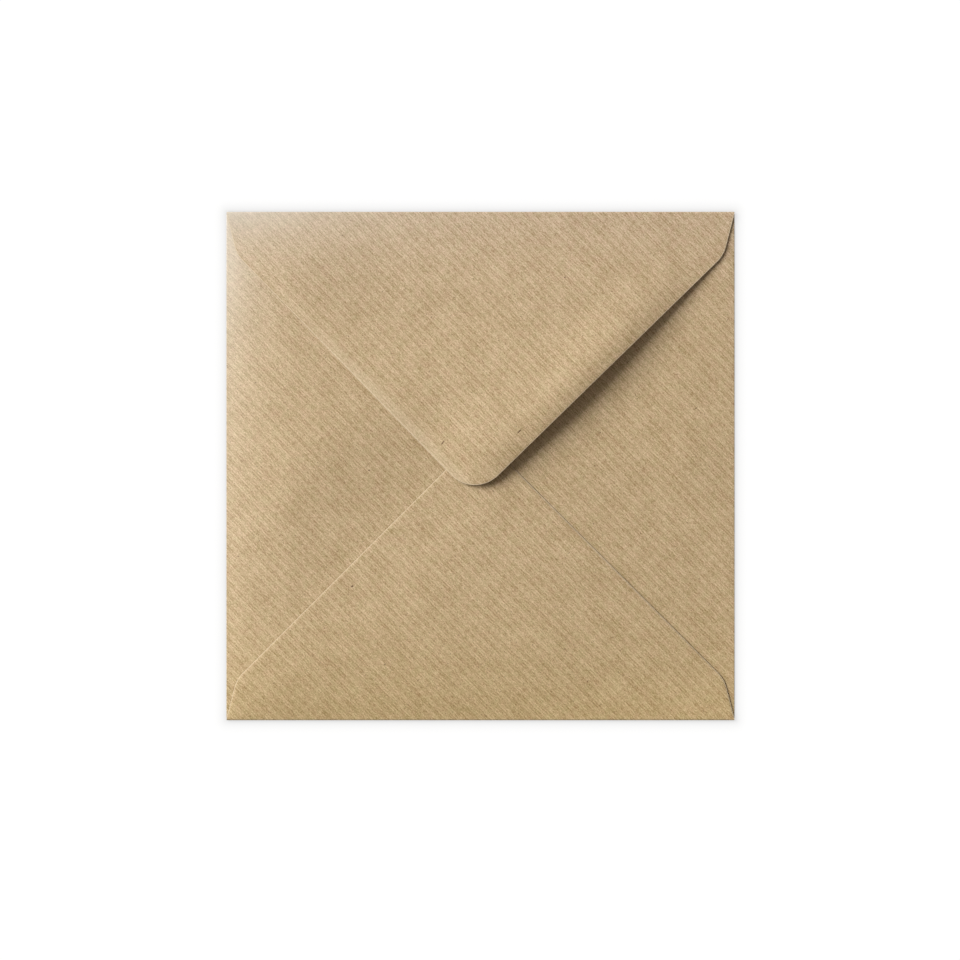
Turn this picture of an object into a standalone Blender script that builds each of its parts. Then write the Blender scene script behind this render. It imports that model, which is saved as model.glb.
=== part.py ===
"""Square kraft envelope, lying on its address face with the seal flap folded over but not stuck down.

Metres, +Z up. X runs along the seal fold, +Y points to that fold, and the origin is the middle of the
address face. Four pointed flaps fold in over the panel: the two side flaps, then the bottom flap, which
is glued to both, and last the seal flap, which carries a gum band and bows up along its right edge.
Every sheet starts as a flat blank, is scored into small faces and is then bent to its place.
"""

import math

import bmesh
import bpy
from mathutils import Vector

# The sheet and the square it folds to
SIDE = 0.155
PAPER = 0.00015
HALF = SIDE / 2

# What lies between the layers
CLEAR = 0.0003
FILM = 0.0001
FILM_CLEAR = 0.0002

# The flaps' points: the side flaps' rounded ends stop short of the envelope's middle, and the other two
# flaps' edges, drawn out sharp, would meet past it, the seal flap's a little to the left
SIDE_TIP_SHORT = 0.0014
BOTTOM_PAST_MIDDLE = 0.0093
SEAL_PAST_MIDDLE = 0.0099
SEAL_LEAN = 0.0019
SIDE_TIP_RADIUS = 0.013
TIP_RADIUS = 0.010

# A flap's sides leave the corner steeply, then turn to 45 degrees at the shoulder
SHOULDER_TAPER = math.tan(math.radians(14.5))
SHOULDER_RADIUS = 0.010
CORNER_CLEAR = 0.000125

# The pocket's swell: its crown, how far in from each fold the back still climbs, and how steeply it sets out
CROWN = 0.0031
LEFT_RUN = 0.042
BOTTOM_RUN = 0.050
TOP_RUN = 0.074
LEFT_POWER = 3
BOTTOM_POWER = 1.7
TOP_POWER = 1.4
RIGHT_POWER = 1.35

# The quick rise that stiff paper makes as it leaves a fold
FOLD_RISE = 0.0013
FOLD_RISE_RUN = 0.0075

# The seal flap's bow: a long lift towards its right edge, a curve near that edge and a drop at it
BOW_LIFT = 0.0017
BOW_LIFT_RUN = 0.085
BOW_CURVE = 0.0035
BOW_CURVE_RUN = 0.010
BOW_EDGE_DROP = 0.00105
BOW_EDGE_RUN = 0.0076
BOW_PEAK = 0.044
BOW_FADE = 1.75
BOW_HINGE_RUN = 0.025

# The seal flap's left edge lies down, and the flap curls up from it
CURL = 0.0006
CURL_RUN = 0.0025

# The seal flap's climb on to the bottom flap, done a little before that flap's point
STEP_RUN = 0.032
STEP_LEAD = 0.006

# Glue strips of the two seams, and the gum band under the seal flap
GLUE_WIDTH = 0.005
GLUE_START = 0.011
GLUE_END_SETBACK = 0.0135
GUM_INSET = 0.003
GUM_WIDTH = 0.012
GUM_END_SETBACK = 0.006
STRIP_END_RADIUS = 0.0015

# How finely the sheets are scored
ARC_STEPS = 8
ROLL_STEPS = 8
STEEP_STEP = 0.005
FIELD_STEP = 0.0075
EDGE_STEP = 0.0026
SCORE_SNAP = 0.00002

# Heights of the undersides of the layers at their folds
SIDE_LEVEL = PAPER + CLEAR
SEAM = FILM + 2 * FILM_CLEAR
BACK_LEVEL = SIDE_LEVEL + PAPER + SEAM
SIDE_ROLL = (SIDE_LEVEL + PAPER) / 2
BACK_ROLL = (BACK_LEVEL + PAPER) / 2

# The side folds stop short of the top and bottom folds, which run out to the corners
SIDE_WIDTH = 2 * (HALF - BACK_ROLL - CORNER_CLEAR)
BACK_WIDTH = 2 * (HALF - CORNER_CLEAR)

# How far each flap's edges, drawn out sharp, reach from its fold
SIDE_REACH = HALF - SIDE_TIP_SHORT + SIDE_TIP_RADIUS * (math.sqrt(2) - 1)
BOTTOM_REACH = HALF + BOTTOM_PAST_MIDDLE
SEAL_REACH = HALF + SEAL_PAST_MIDDLE

# Inward directions of the four flaps
FROM_LEFT = Vector((1, 0))
FROM_RIGHT = Vector((-1, 0))
FROM_BOTTOM = Vector((0, 1))
FROM_TOP = Vector((0, -1))

KRAFT_FRONT = (0.50, 0.37, 0.22)
KRAFT_LEFT = (0.53, 0.39, 0.235)
KRAFT_RIGHT = (0.50, 0.37, 0.22)
KRAFT_BOTTOM = (0.51, 0.38, 0.22)
KRAFT_SEAL = (0.55, 0.42, 0.26)
KRAFT_CREASE = (0.45, 0.33, 0.20)
DRIED_GLUE = (0.62, 0.56, 0.44)
DRIED_GUM = (0.60, 0.48, 0.31)
PAPER_ROUGHNESS = 0.8
GLUE_ROUGHNESS = 0.5
GUM_ROUGHNESS = 0.35


def clear_scene():
    for thing in list(bpy.data.objects):
        bpy.data.objects.remove(thing, do_unlink=True)


def spaced(low, high, step):
    """Even places from low to high, both included, no further apart than step."""
    count = max(1, math.ceil((high - low) / step))
    return [low + (high - low) * index / count for index in range(count + 1)]


def climb(distance, run, power):
    """Share of the crown reached at a distance from a fold: steeper at the fold the higher the power."""
    return 1 - (1 - min(max(distance / run, 0), 1)) ** power


def spring(distance):
    """Share of the quick rise reached at a distance from a fold."""
    return 1 - math.exp(-max(distance, 0) / FOLD_RISE_RUN)


def swell(place):
    """Height of the pocket's back over its level at the folds."""
    crest = LEFT_RUN - HALF + SIDE_ROLL
    beyond = (place.x - crest) / (HALF - SIDE_ROLL - crest)
    fall = 1 - min(max(beyond, 0), 1) ** RIGHT_POWER
    left = place.x + HALF - SIDE_ROLL
    bottom = place.y + HALF - BACK_ROLL
    top = HALF - BACK_ROLL - place.y
    wide = climb(left, LEFT_RUN, LEFT_POWER) * climb(bottom, BOTTOM_RUN, BOTTOM_POWER)
    wide *= climb(top, TOP_RUN, TOP_POWER)
    return (CROWN * wide + FOLD_RISE * spring(left) * spring(bottom) * spring(top)) * fall


def along_fold(inward):
    return Vector((inward.y, -inward.x))


def on_plan(inward, across, depth):
    """Plan place of a point of a flap: across along its fold, depth in from the envelope's edge."""
    return along_fold(inward) * across + inward * (depth - HALF)


def rounded(corners):
    """Outline through (point, radius) corners, each radius an arc."""
    outline = []
    for index, (corner, radius) in enumerate(corners):
        if radius == 0:
            outline.append(corner)
            continue
        before = (corners[index - 1][0] - corner).normalized()
        after = (corners[(index + 1) % len(corners)][0] - corner).normalized()
        half_angle = before.angle(after) / 2
        centre = corner + (before + after).normalized() * radius / math.sin(half_angle)
        setback = radius / math.tan(half_angle)
        first = (corner + before * setback - centre).normalized()
        last = (corner + after * setback - centre).normalized()
        outline += [centre + first.slerp(last, step / ARC_STEPS) * radius for step in range(ARC_STEPS + 1)]
    return outline


def shoulder_of(reach):
    """Where a flap's steep side, leaving the envelope's corner, meets its 45 degree edge."""
    depth = (reach - HALF) / (1 - SHOULDER_TAPER)
    return HALF - depth * SHOULDER_TAPER, depth


def flap_outline(inward, width, reach, lean, tip_radius, root, behind=0):
    """Flat blank of a flap: from its root, past the shoulders, to a rounded point, and any paper behind."""
    shoulder, depth = shoulder_of(reach)
    corners = [
        (on_plan(inward, width / 2, root), 0),
        (on_plan(inward, shoulder, depth), SHOULDER_RADIUS),
        (on_plan(inward, lean, reach), tip_radius),
        (on_plan(inward, -shoulder, depth), SHOULDER_RADIUS),
        (on_plan(inward, -width / 2, root), 0),
    ]
    if behind > 0:
        corners += [(on_plan(inward, across, root - behind), 0) for across in (-width / 2, width / 2)]
    return rounded(corners)


def score(blank, normal, offsets, past=None):
    """Cut the blank along parallel lines, only in the faces past a (direction, distance) if one is given."""
    for offset in offsets:
        faces = [
            face
            for face in blank.faces
            if past is None or face.calc_center_median().xy.dot(past[0]) > past[1]
        ]
        edges = {edge for face in faces for edge in face.edges}
        verts = {vert for face in faces for vert in face.verts}
        bmesh.ops.bisect_plane(
            blank,
            geom=faces + list(edges) + list(verts),
            dist=SCORE_SNAP,
            plane_co=(normal * offset).to_3d(),
            plane_no=normal.to_3d(),
        )


def kraft_scores():
    """Lines across the pocket, closer where the left side climbs."""
    crest = LEFT_RUN - HALF + SIDE_ROLL
    steep = spaced(SIDE_ROLL - HALF, crest, STEEP_STEP)
    across = steep + spaced(crest, HALF - SIDE_ROLL, FIELD_STEP)[1:]
    up = spaced(BACK_ROLL - HALF, HALF - BACK_ROLL, FIELD_STEP)
    return [(Vector((1, 0)), across), (Vector((0, 1)), up)]


def make_material(name, colour, roughness):
    material = bpy.data.materials.new(name)
    material.use_nodes = True
    shader = material.node_tree.nodes["Principled BSDF"]
    shader.inputs["Base Color"].default_value = (*colour, 1)
    shader.inputs["Roughness"].default_value = roughness
    shader.inputs["Metallic"].default_value = 0
    return material


def make_sheet(name, outline, scores, bend, thickness, colour, roughness, origin, collection, roll=None):
    """A closed sheet: the outline is filled, scored, bent by the function given and thickened evenly."""
    blank = bmesh.new()
    blank.faces.new([blank.verts.new(point.to_3d()) for point in outline])
    field = None
    if roll is not None:
        inward, radius = roll
        length = roll_length(radius)
        places = [radius - HALF - length * step / ROLL_STEPS for step in range(ROLL_STEPS)]
        score(blank, inward, places)
        field = (inward, radius - HALF)
    for normal, offsets in scores:
        score(blank, normal, offsets, field)
    bmesh.ops.triangulate(blank, faces=blank.faces[:], quad_method="FIXED", ngon_method="BEAUTY")
    for edge in blank.edges:
        edge.smooth = not edge.is_boundary
    for vert in blank.verts:
        vert.co = bend(vert.co.xy) - origin
    mesh = bpy.data.meshes.new(name)
    blank.to_mesh(mesh)
    blank.free()
    mesh.shade_smooth()
    sheet = bpy.data.objects.new(name, mesh)
    sheet.location = origin
    sheet.data.materials.append(make_material(name, colour, roughness))
    collection.objects.link(sheet)
    shell = sheet.modifiers.new("thickness", "SOLIDIFY")
    shell.thickness = thickness
    shell.offset = 0
    shell.use_even_offset = True
    return sheet


def roll_length(radius):
    """Paper in a fold's half turn, measured at the middle of its thickness."""
    return math.pi * (radius - PAPER / 2)


def roll_bend(inward, radius, place):
    """Carry a place of the blank that lies before the root round the fold's half turn."""
    middle = radius - PAPER / 2
    angle = math.pi / 2 - (radius - HALF - place.dot(inward)) / middle
    depth = radius - middle * math.cos(angle)
    along = along_fold(inward)
    plan = on_plan(inward, place.dot(along), depth)
    return plan.to_3d() + Vector((0, 0, radius + middle * math.sin(angle)))


def raised(place, height):
    return Vector((place.x, place.y, height))


def folded_flap(name, inward, width, reach, tip_radius, radius, colour, collection):
    """A glued-down flap with the half-turn fold that joins it to the panel."""

    def bend(place):
        if place.dot(inward) < radius - HALF:
            return roll_bend(inward, radius, place)
        return raised(place, 2 * radius - PAPER / 2 + swell(place))

    outline = flap_outline(inward, width, reach, 0, tip_radius, radius, roll_length(radius))
    origin = raised(inward * (radius - HALF), radius)
    make_sheet(
        name, outline, kraft_scores(), bend, PAPER, colour, PAPER_ROUGHNESS, origin, collection,
        (inward, radius),
    )


def front_panel(collection):
    """The flat address panel, short of each fold by the clearance."""
    side_edge = HALF - SIDE_ROLL - CLEAR
    end_edge = HALF - BACK_ROLL - CLEAR
    outline = [
        Vector((-side_edge, -end_edge)),
        Vector((side_edge, -end_edge)),
        Vector((side_edge, end_edge)),
        Vector((-side_edge, end_edge)),
    ]
    make_sheet(
        "front_panel", outline, [], lambda place: raised(place, PAPER / 2), PAPER, KRAFT_FRONT,
        PAPER_ROUGHNESS, Vector((0, 0, 0)), collection,
    )


def seal_corners():
    """Plan places of the seal flap's sharp point and of its left and right shoulders."""
    shoulder, depth = shoulder_of(SEAL_REACH)
    point = on_plan(FROM_TOP, SEAL_LEAN, SEAL_REACH)
    return point, on_plan(FROM_TOP, shoulder, depth), on_plan(FROM_TOP, -shoulder, depth)


def ease(share):
    share = min(max(share, 0), 1)
    return share * share * (3 - 2 * share)


def bow(place):
    """Height by which the seal flap's right edge stands off the pocket."""
    point, _, right = seal_corners()
    edge = right - point
    along = (place - point).dot(edge.normalized())
    inside = edge.normalized().cross(place - point)
    if along < BOW_PEAK:
        share = math.sin(math.pi / 2 * max(along / BOW_PEAK, 0))
    else:
        beyond = min((along - BOW_PEAK) / (edge.length - BOW_PEAK), 1)
        share = max(math.cos(math.pi / 2 * beyond), 0) ** BOW_FADE
    curve = max(inside, 0) / BOW_CURVE_RUN
    height = BOW_LIFT * ease(1 - inside / BOW_LIFT_RUN) + BOW_CURVE * (1 + curve) * math.exp(-curve)
    height -= BOW_EDGE_DROP * (1 - min(inside / BOW_EDGE_RUN, 1)) ** 2
    return height * share * past_hinge(place)


def past_hinge(place):
    """Share of its free shape that the seal flap has reached at a distance from its fold."""
    return ease((HALF - BACK_ROLL - place.y) / BOW_HINGE_RUN)


def curl(place):
    """Height that the seal flap gains as it comes in from its left edge."""
    point, left, _ = seal_corners()
    inside = (place - point).cross((left - point).normalized())
    return CURL * (1 - math.exp(-max(inside, 0) / CURL_RUN)) * past_hinge(place)


def seal_height(place):
    """Middle of the seal flap's thickness: over the side flaps, then up over the bottom flap's point."""
    to_point = place.y - BOTTOM_PAST_MIDDLE - STEP_LEAD
    step = (PAPER + SEAM) * ease(1 - to_point / STEP_RUN)
    return BACK_LEVEL + PAPER / 2 + swell(place) + step + bow(place) + curl(place)


def seal_scores():
    """Lines along and across the seal flap's right edge, and beside its left one, closest near the edges."""
    point, left, right = seal_corners()
    along = (right - point).normalized()
    inside = Vector((-along.y, along.x))
    edge = point.dot(inside)
    bent = spaced(edge, edge + 2 * BOW_EDGE_RUN, EDGE_STEP)[1:]
    rest = spaced(bent[-1], left.dot(inside), FIELD_STEP)[1:]
    to_left = (left - point).normalized()
    from_left = Vector((to_left.y, -to_left.x))
    curled = [point.dot(from_left) + EDGE_STEP * count for count in (1, 2)]
    across = spaced(point.dot(along), right.dot(along), FIELD_STEP)
    return [(inside, bent + rest), (along, across), (from_left, curled)]


def hinge_empty(collection):
    """The seal flap turns about the middle of its fold."""
    hinge = bpy.data.objects.new("seal_flap_hinge", None)
    hinge.location = (0, HALF - BACK_ROLL, BACK_ROLL)
    collection.objects.link(hinge)
    return hinge


def hang(piece, hinge):
    """Parent a piece to the empty on its joint axis, where it stands."""
    piece.parent = hinge
    piece.location = (0, 0, 0)


def seal_flap(collection, hinge):
    """The closing flap, from just past its fold to its rounded point."""
    outline = flap_outline(FROM_TOP, BACK_WIDTH, SEAL_REACH, SEAL_LEAN, TIP_RADIUS, BACK_ROLL + CLEAR)
    flap = make_sheet(
        "seal_flap", outline, seal_scores(), lambda place: raised(place, seal_height(place)), PAPER,
        KRAFT_SEAL, PAPER_ROUGHNESS, hinge.location.copy(), collection,
    )
    hang(flap, hinge)


def top_crease(collection):
    """The seal flap's fold line: the half turn of paper that bends when the flap opens."""
    start = BACK_ROLL - roll_length(BACK_ROLL)
    outline = [
        on_plan(FROM_TOP, -BACK_WIDTH / 2, start),
        on_plan(FROM_TOP, BACK_WIDTH / 2, start),
        on_plan(FROM_TOP, BACK_WIDTH / 2, BACK_ROLL),
        on_plan(FROM_TOP, -BACK_WIDTH / 2, BACK_ROLL),
    ]
    make_sheet(
        "top_crease", outline, [], lambda place: roll_bend(FROM_TOP, BACK_ROLL, place), PAPER,
        KRAFT_CREASE, PAPER_ROUGHNESS, Vector((0, HALF - BACK_ROLL, BACK_ROLL)), collection,
        (FROM_TOP, BACK_ROLL),
    )


def seam_glue(name, side, collection):
    """Dried glue between a side flap and the bottom flap, a strip down the middle of their overlap."""
    middle = (BOTTOM_REACH - SIDE_REACH) / 2
    glue_end = HALF - GLUE_END_SETBACK
    first = Vector((side * GLUE_START, middle - GLUE_START))
    last = Vector((side * glue_end, middle - glue_end))
    out = Vector((side, 1)).normalized() * GLUE_WIDTH / 2
    corners = [first - out, last - out, last + out, first + out]
    outline = rounded([(corner, STRIP_END_RADIUS) for corner in corners[::side]])
    height = BACK_LEVEL - SEAM / 2
    make_sheet(
        name, outline, kraft_scores(), lambda place: raised(place, height + swell(place)), FILM,
        DRIED_GLUE, GLUE_ROUGHNESS, raised(first, height), collection,
    )


def seal_gum(collection, hinge):
    """The gum band: a chevron on the seal flap's underside, set in from its two free edges."""
    point, left, right = seal_corners()
    to_left = (left - point).normalized()
    to_right = (right - point).normalized()
    middle = (to_left + to_right).normalized()
    spread = math.sin(middle.angle(to_right))

    def band_edge(inset):
        tip = point + middle * inset / spread
        reach = (right - point).length - GUM_END_SETBACK
        right_end = point + to_right * reach + Vector((-to_right.y, to_right.x)) * inset
        left_end = point + to_left * reach + Vector((to_left.y, -to_left.x)) * inset
        return left_end, tip, right_end

    outer = band_edge(GUM_INSET)
    inner = band_edge(GUM_INSET + GUM_WIDTH)
    radii = (STRIP_END_RADIUS, TIP_RADIUS - GUM_INSET, STRIP_END_RADIUS)
    inner_radii = (STRIP_END_RADIUS, STRIP_END_RADIUS, STRIP_END_RADIUS)
    outline = rounded(list(zip(outer, radii)) + list(zip(inner[::-1], inner_radii)))
    drop = PAPER / 2 + FILM_CLEAR + FILM / 2
    gum = make_sheet(
        "seal_gum", outline, seal_scores(), lambda place: raised(place, seal_height(place) - drop), FILM,
        DRIED_GUM, GUM_ROUGHNESS, hinge.location.copy(), collection,
    )
    hang(gum, hinge)


def build():
    clear_scene()
    collection = bpy.data.collections.new("kraft_envelope")
    bpy.context.scene.collection.children.link(collection)
    front_panel(collection)
    for name, inward, colour in (
        ("left_side_flap", FROM_LEFT, KRAFT_LEFT),
        ("right_side_flap", FROM_RIGHT, KRAFT_RIGHT),
    ):
        folded_flap(name, inward, SIDE_WIDTH, SIDE_REACH, SIDE_TIP_RADIUS, SIDE_ROLL, colour, collection)
    seam_glue("left_seam_glue", -1, collection)
    seam_glue("right_seam_glue", 1, collection)
    folded_flap(
        "bottom_flap", FROM_BOTTOM, BACK_WIDTH, BOTTOM_REACH, TIP_RADIUS, BACK_ROLL, KRAFT_BOTTOM, collection,
    )
    top_crease(collection)
    hinge = hinge_empty(collection)
    seal_flap(collection, hinge)
    seal_gum(collection, hinge)


build()
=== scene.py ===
"""Kraft envelope, seen from its back: ribbed paper sheets with their folds, cut edges, gum and glue.

Metres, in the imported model's frame: +Z up, +Y to the seal fold, and the address face's middle as origin.
Each sheet is cut flat, meshed finely and bent to its place by the same rules as its solid.
"""

import math

import bpy
import numpy as np
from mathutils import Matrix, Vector, noise
from mathutils.geometry import delaunay_2d_cdt


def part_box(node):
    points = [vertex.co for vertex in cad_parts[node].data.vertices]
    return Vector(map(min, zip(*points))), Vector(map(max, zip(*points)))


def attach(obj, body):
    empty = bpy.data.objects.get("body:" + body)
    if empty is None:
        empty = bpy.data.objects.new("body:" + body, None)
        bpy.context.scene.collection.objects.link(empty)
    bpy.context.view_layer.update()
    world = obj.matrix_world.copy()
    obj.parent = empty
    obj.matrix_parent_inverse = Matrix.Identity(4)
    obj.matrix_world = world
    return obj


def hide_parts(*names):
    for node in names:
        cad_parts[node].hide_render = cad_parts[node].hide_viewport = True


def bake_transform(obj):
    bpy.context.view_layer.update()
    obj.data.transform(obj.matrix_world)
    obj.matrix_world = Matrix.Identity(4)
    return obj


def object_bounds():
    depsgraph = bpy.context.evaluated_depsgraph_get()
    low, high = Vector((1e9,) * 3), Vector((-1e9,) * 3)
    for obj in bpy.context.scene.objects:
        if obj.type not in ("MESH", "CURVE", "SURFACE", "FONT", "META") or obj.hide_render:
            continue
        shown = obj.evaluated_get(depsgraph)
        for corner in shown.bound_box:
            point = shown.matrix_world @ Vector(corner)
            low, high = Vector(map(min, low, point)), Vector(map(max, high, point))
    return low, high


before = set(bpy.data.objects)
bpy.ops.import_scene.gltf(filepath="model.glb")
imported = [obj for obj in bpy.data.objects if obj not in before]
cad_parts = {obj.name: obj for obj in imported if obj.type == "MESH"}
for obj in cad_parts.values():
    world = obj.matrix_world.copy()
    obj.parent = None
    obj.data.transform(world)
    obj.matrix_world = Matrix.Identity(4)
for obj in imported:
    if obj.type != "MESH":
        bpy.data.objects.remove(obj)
cad_low, cad_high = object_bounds()

# The folded square and the paper
HALF = cad_high.x
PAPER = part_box("front_panel")[1].z

# What lies between the layers
CLEAR = 0.0003
FILM = 0.0001
FILM_CLEAR = 0.0002

# The flaps' points and shoulders
SIDE_TIP_SHORT = 0.0014
BOTTOM_PAST_MIDDLE = 0.0093
SEAL_PAST_MIDDLE = 0.0099
SEAL_LEAN = 0.0019
SIDE_TIP_RADIUS = 0.013
TIP_RADIUS = 0.010
SHOULDER_TAPER = math.tan(math.radians(14.5))
SHOULDER_RADIUS = 0.010
CORNER_CLEAR = 0.000125

# The pocket's swell
CROWN = 0.0031
LEFT_RUN = 0.042
BOTTOM_RUN = 0.050
TOP_RUN = 0.074
LEFT_POWER = 3
BOTTOM_POWER = 1.7
TOP_POWER = 1.4
RIGHT_POWER = 1.35
FOLD_RISE = 0.0013
FOLD_RISE_RUN = 0.0075

# Valleys and crests that handling leaves in the back: x, y, heading, half length, half width, height
DENTS = (
    (-0.036, -0.021, 45, 0.060, 0.030, -0.0014),
    (0.026, -0.040, 0, 0.042, 0.042, 0.0008),
    (0.004, -0.062, 0, 0.045, 0.030, 0.0007),
    (-0.056, 0.064, 45, 0.030, 0.026, 0.0008),
    (0.044, 0.041, 45, 0.036, 0.014, 0.0008),
    (0.020, 0.026, 45, 0.034, 0.022, -0.0004),
    (0.066, 0.003, 0, 0.016, 0.016, 0.0005),
    (-0.069, -0.008, 90, 0.055, 0.013, -0.0003),
    (0.053, -0.052, 0, 0.026, 0.026, 0.0004),
)
# The seal flap arches up just before its point
ARCH = (-0.001, 0.005, 0, 0.017, 0.017, 0.0011)
# The fainter unevenness all over: its width and height, coarse and fine
WAVE = 0.026
WAVE_HEIGHT = 0.0002
RIPPLE = 0.011
RIPPLE_HEIGHT = 0.00005

# The seal flap's bow along its right edge, its rise from its left edge, and its climb on to the bottom flap
BOW_LIFT = 0.0017
BOW_LIFT_RUN = 0.085
BOW_CURVE = 0.0035
BOW_CURVE_RUN = 0.010
BOW_EDGE_DROP = 0.00105
BOW_EDGE_RUN = 0.0076
BOW_PEAK = 0.044
BOW_FADE = 1.75
BOW_HINGE_RUN = 0.025
CURL = 0.0006
CURL_RUN = 0.0025
STEP_RUN = 0.032
STEP_LEAD = 0.006

# The glue strips of the two seams, and the thin gum band that lies right under the seal flap
GLUE_WIDTH = 0.005
GLUE_START = 0.011
GLUE_END_SETBACK = 0.0135
GUM_INSET = 0.003
GUM_WIDTH = 0.012
GUM_END_SETBACK = 0.006
STRIP_END_RADIUS = 0.0015
GUM_FILM = 0.00004
GUM_CLEAR = 0.00002

# Heights of the layers' undersides at their folds, and the folds' radii
SIDE_LEVEL = PAPER + CLEAR
SEAM = FILM + 2 * FILM_CLEAR
BACK_LEVEL = SIDE_LEVEL + PAPER + SEAM
SIDE_ROLL = (SIDE_LEVEL + PAPER) / 2
BACK_ROLL = (BACK_LEVEL + PAPER) / 2

# The flaps' widths along their folds, and how far they reach in from the envelope's edge
SIDE_WIDTH = 2 * (HALF - BACK_ROLL - CORNER_CLEAR)
BACK_WIDTH = 2 * (HALF - CORNER_CLEAR)
SIDE_REACH = HALF - SIDE_TIP_SHORT + SIDE_TIP_RADIUS * (math.sqrt(2) - 1)
BOTTOM_REACH = HALF + BOTTOM_PAST_MIDDLE
SEAL_REACH = HALF + SEAL_PAST_MIDDLE

# The way in from each edge
FROM_LEFT = Vector((1, 0))
FROM_RIGHT = Vector((-1, 0))
FROM_BOTTOM = Vector((0, 1))
FROM_TOP = Vector((0, -1))

# How finely the sheets are meshed: along the cut edge, in rings beside it, over the field and round a fold
ARC_STEPS = 24
EDGE_STEP = 0.0006
EDGE_RINGS = (0.00015, 0.00035, 0.0008)
FIELD_STEP = 0.00125
ROLL_STEPS = 14
# A ring's least share of its depth, how near points are merged, and the thinnest triangle that is kept
RING_KEPT = 0.97
MERGE = 1e-7
SLIVER = 2e-6
# The triangulation's own number for triangles within the outline only
ONLY_INSIDE = 1

# The glued flaps' cut edges are pressed down a little, and every rim is crushed thinner over its width
PRESS = 0.00013
PRESS_RUN = 0.0007
RIM_WIDTH = 0.00035
RIM_THICKNESS = 0.55
# Distances from the rim are told up to this one
RIM_SEEN = 0.002

# The camera looks straight down at this place, and sees this width there
SENSOR = 36
LENS = 85
FRAME_WIDTH = 0.2926
AIM = Vector((-0.00015, -0.00427, 0.001))

# One soft light from the upper left, and an even fill from all round
KEY_AZIMUTH = 152
KEY_ELEVATION = 40
KEY_DISTANCE = 12.0
KEY_SIZE = 8.1
KEY_POWER = 1845.0
FILL = 0.18
FILL_TINT = (1, 0.88, 0.77, 1)

# The floor is seen as white, with painted shadow a little darker close round the envelope
FLOOR_REACH = 2.0
FLOOR_LEVEL = -0.0001
FLOOR_COLOUR = (0.8, 0.8, 0.8, 1)
FLOOR_GLOW = 0.85
FLOOR_WHITE = 1.09
PAINTED_HALO = 0.30
HALO_REACH = 0.006
HALO_SAMPLES = 16
PAINTED_CONTACT_SHADOW = 0.20
CONTACT_REACH = 0.0022


def ease(share):
    """A smooth step from 0 to 1."""
    share = min(max(share, 0), 1)
    return share * share * (3 - 2 * share)


def climb(distance, run, power):
    """Share of the crown reached at a distance from a fold: steeper at the fold the higher the power."""
    return 1 - (1 - min(max(distance / run, 0), 1)) ** power


def spring(distance):
    """Share of the quick rise that the paper makes as it leaves a fold."""
    return 1 - math.exp(-max(distance, 0) / FOLD_RISE_RUN)


def dent(place, x, y, heading, half_length, half_width, height):
    """Height that one dent gives at a place: a smooth mound or hollow on an ellipse."""
    angle = math.radians(heading)
    along = (place.x - x) * math.cos(angle) + (place.y - y) * math.sin(angle)
    across = (place.y - y) * math.cos(angle) - (place.x - x) * math.sin(angle)
    off = (along / half_length) ** 2 + (across / half_width) ** 2
    return height * max(1 - off, 0) ** 2


def unevenness(place):
    """Height that the dents and the faint waves give at a place of the back."""
    wave = noise.noise(Vector((place.x, place.y, 0)) / WAVE) * WAVE_HEIGHT
    ripple = noise.noise(Vector((place.x, place.y, 1)) / RIPPLE) * RIPPLE_HEIGHT
    return wave + ripple + sum(dent(place, *values) for values in DENTS)


def swell(place):
    """Height of the pocket's back over its level at the folds."""
    crest = LEFT_RUN - HALF + SIDE_ROLL
    beyond = (place.x - crest) / (HALF - SIDE_ROLL - crest)
    fall = 1 - min(max(beyond, 0), 1) ** RIGHT_POWER
    left, bottom, top = place.x + HALF - SIDE_ROLL, place.y + HALF - BACK_ROLL, HALF - BACK_ROLL - place.y
    wide = climb(left, LEFT_RUN, LEFT_POWER) * climb(bottom, BOTTOM_RUN, BOTTOM_POWER)
    wide *= climb(top, TOP_RUN, TOP_POWER)
    free = spring(left) * spring(bottom) * spring(top)
    near_right = spring(HALF - SIDE_ROLL - place.x)
    return (CROWN * wide + FOLD_RISE * free) * fall + unevenness(place) * free * near_right


def along_fold(inward):
    """Direction along a flap's fold."""
    return Vector((inward.y, -inward.x))


def on_plan(inward, across, depth):
    """Plan place of a point of a flap: across along its fold, depth in from the envelope's edge."""
    return along_fold(inward) * across + inward * (depth - HALF)


def rounded(corners):
    """Line through (point, radius) corners, each radius an arc. The ends of an open line have none."""
    line = []
    for index, (corner, radius) in enumerate(corners):
        if radius == 0:
            line.append(corner)
            continue
        before = (corners[index - 1][0] - corner).normalized()
        after = (corners[(index + 1) % len(corners)][0] - corner).normalized()
        half_angle = before.angle(after) / 2
        centre = corner + (before + after).normalized() * radius / math.sin(half_angle)
        setback = radius / math.tan(half_angle)
        first = (corner + before * setback - centre).normalized()
        last = (corner + after * setback - centre).normalized()
        line += [centre + first.slerp(last, step / ARC_STEPS) * radius for step in range(ARC_STEPS + 1)]
    return line


def divided(line, step):
    """The line with points added so that none are further apart than step."""
    points = [line[0]]
    for start, end in zip(line, line[1:]):
        count = max(1, math.ceil((end - start).length / step))
        points += [start.lerp(end, index / count) for index in range(1, count + 1)]
    return points


def shoulder_of(reach):
    """Where a flap's steep side, leaving the envelope's corner, meets its 45 degree edge."""
    depth = (reach - HALF) / (1 - SHOULDER_TAPER)
    return HALF - depth * SHOULDER_TAPER, depth


def cut_edge(inward, width, reach, lean, tip_radius, radius):
    """A flap's cut edge, from one end of its fold past the shoulders and the rounded point to the other."""
    half_width = width / 2
    shoulder, depth = shoulder_of(reach)
    return rounded([
        (on_plan(inward, half_width, radius), 0),
        (on_plan(inward, shoulder, depth), SHOULDER_RADIUS),
        (on_plan(inward, lean, reach), tip_radius),
        (on_plan(inward, -shoulder, depth), SHOULDER_RADIUS),
        (on_plan(inward, -half_width, radius), 0),
    ])


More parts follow.
